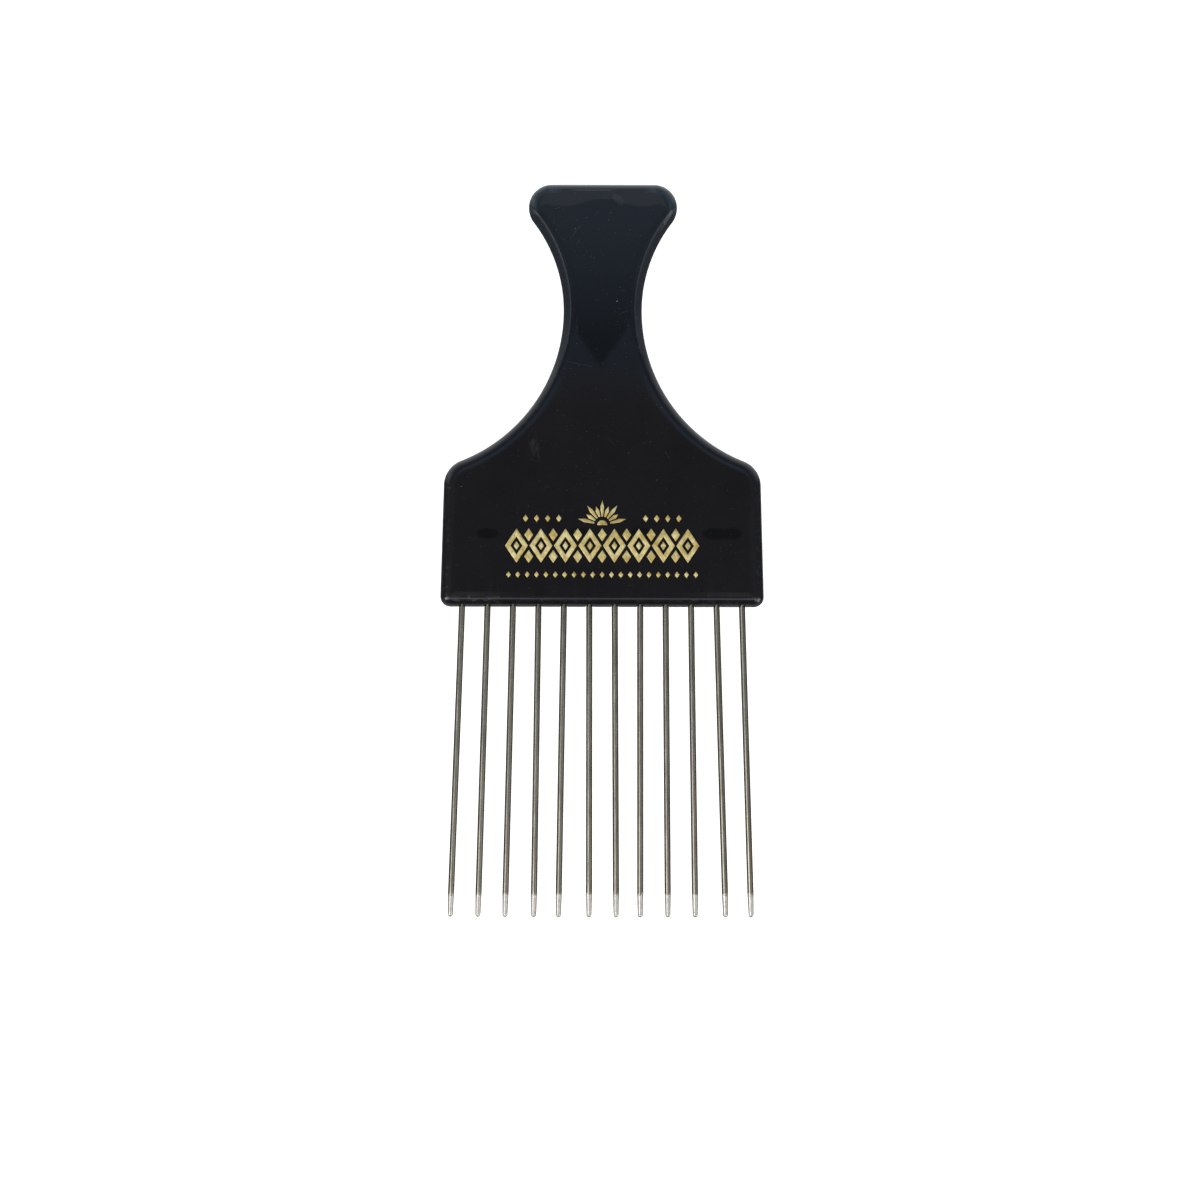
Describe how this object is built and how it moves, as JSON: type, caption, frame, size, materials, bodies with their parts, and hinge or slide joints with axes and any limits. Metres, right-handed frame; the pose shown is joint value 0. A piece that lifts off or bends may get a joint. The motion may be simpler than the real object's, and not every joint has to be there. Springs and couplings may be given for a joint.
{
  "type": "afro pick",
  "caption": "Hair pick with a flat, waisted black plastic handle and a fan of long round steel wire teeth with ground tips.",
  "frame": {"origin": "under the middle of the whole comb, on the back face that it rests on", "axes": "+X across the comb, +Y from the tips of the teeth towards the butt of the handle, +Z through the thickness, out of the front face"},
  "size_m": [0.0762, 0.1726, 0.006],
  "materials": {
    "handle_plastic": "near-black moulded plastic with a polished, lightly scuffed surface",
    "tooth_steel": "drawn steel wire, slightly dull, with coarse ground tips",
    "stamped_foil": "thin pale gold foil, hot-stamped into the front face"
  },
  "bodies": {
    "root": {"handle": "handle_plastic", "tooth_01": "tooth_steel", "tooth_02": "tooth_steel", "tooth_03": "tooth_steel", "tooth_04": "tooth_steel", "tooth_05": "tooth_steel", "tooth_06": "tooth_steel", "tooth_07": "tooth_steel", "tooth_08": "tooth_steel", "tooth_09": "tooth_steel", "tooth_10": "tooth_steel", "tooth_11": "tooth_steel", "tooth_12": "tooth_steel"}
  },
  "joints": []
}
